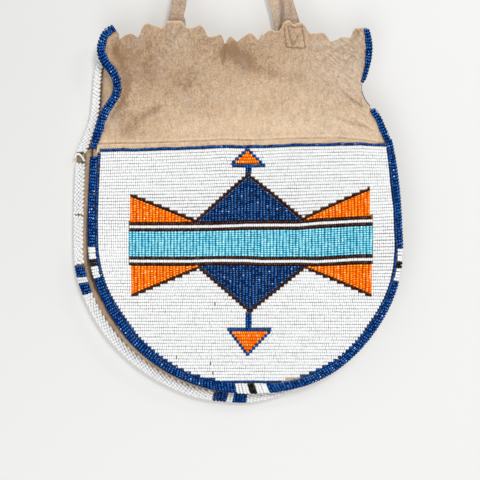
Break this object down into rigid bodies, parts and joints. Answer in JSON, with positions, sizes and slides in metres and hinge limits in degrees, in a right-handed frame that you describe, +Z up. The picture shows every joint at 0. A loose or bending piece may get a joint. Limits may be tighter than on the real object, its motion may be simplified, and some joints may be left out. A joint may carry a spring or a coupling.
{
  "type": "beaded bag",
  "caption": "Flat hide bag with a bead-covered round front panel, a hide yoke with a scalloped mouth, a side gusset, rolled bead edging and two strap handles.",
  "frame": {"origin": "the point under the arch of the handles where the bag hangs on a peg, midway between the two hides", "axes": "+Z up along the hanging bag, +Y from the beaded front to the back, +X to the right as seen from the front"},
  "size_m": [0.2174, 0.026, 0.3439],
  "materials": {
    "hide": "tanned suede, napped, matt",
    "hide_shaded": "tanned suede, flesh side, matt",
    "white_beads": "opaque glass seed beads, glossy",
    "blue_beads": "cobalt glass seed beads, glossy",
    "navy_beads": "dark blue glass seed beads, glossy",
    "orange_beads": "opaque orange glass seed beads, glossy",
    "turquoise_beads": "turquoise glass seed beads, glossy",
    "brown_beads": "dark brown glass seed beads, glossy",
    "black_beads": "black glass seed beads, glossy"
  },
  "bodies": {
    "bag": {"back_edging_01_white": "white_beads", "back_edging_02_blue": "blue_beads", "back_edging_03_white": "white_beads", "back_edging_04_blue": "blue_beads", "back_edging_05_white": "white_beads", "back_edging_06_blue": "blue_beads", "back_edging_07_white": "white_beads", "back_edging_08_blue": "blue_beads", "back_edging_09_white": "white_beads", "back_edging_10_blue": "blue_beads", "back_edging_11_white": "white_beads", "back_edging_12_blue": "blue_beads", "back_edging_13_white": "white_beads", "back_hide": "hide", "beaded_panel_hide": "hide", "border_row": "blue_beads", "centre_band": "turquoise_beads", "front_edging_01_navy": "blue_beads", "front_edging_02_white": "white_beads", "front_edging_03_black": "black_beads", "front_edging_04_white": "white_beads", "front_edging_05_navy": "blue_beads", "front_edging_06_white": "white_beads", "front_edging_07_black": "black_beads", "front_edging_08_white": "white_beads", "front_edging_09_navy": "blue_beads", "front_edging_10_white": "white_beads", "front_edging_11_black": "black_beads", "front_edging_12_white": "white_beads", "front_edging_13_navy": "blue_beads", "lower_arrow_fill": "orange_beads", "lower_arrow_line": "blue_beads", "lower_band_line": "brown_beads", "lower_base_line": "brown_beads", "lower_diamond": "navy_beads", "lower_left_wedge": "orange_beads", "lower_outline": "brown_beads", "lower_right_wedge": "orange_beads", "lower_white_stripe": "white_beads", "rear_handle_foot_left": "hide_shaded", "rear_handle_foot_right": "hide_shaded", "side_gusset": "hide_shaded", "upper_arrow_fill": "orange_beads", "upper_arrow_line": "blue_beads", "upper_band_line": "brown_beads", "upper_base_line": "brown_beads", "upper_diamond": "navy_beads", "upper_left_wedge": "orange_beads", "upper_outline": "brown_beads", "upper_right_wedge": "orange_beads", "upper_white_stripe": "white_beads", "white_ground": "white_beads"},
    "front_yoke": {"front_handle_foot_left": "hide_shaded", "front_handle_foot_right": "hide_shaded", "front_yoke_hide": "hide", "yoke_edging_left": "blue_beads", "yoke_edging_right": "blue_beads"},
    "front_handle": {"front_handle": "hide"},
    "rear_handle": {"rear_handle": "hide"}
  },
  "joints": [
    {"name": "yoke_fold", "type": "hinge", "parent": "bag", "child": "front_yoke", "pos_m": [0.0074, -0.008, -0.1673], "axis": [1, 0, 0], "range_deg": [0, 30]},
    {"name": "front_handle_swing", "type": "hinge", "parent": "front_yoke", "child": "front_handle", "pos_m": [0, -0.00793, -0.085], "axis": [1, 0, 0], "range_deg": [0, 120]},
    {"name": "rear_handle_swing", "type": "hinge", "parent": "bag", "child": "rear_handle", "pos_m": [-0.0042, 0.0063, -0.091], "axis": [-1, 0, 0], "range_deg": [0, 120]}
  ]
}
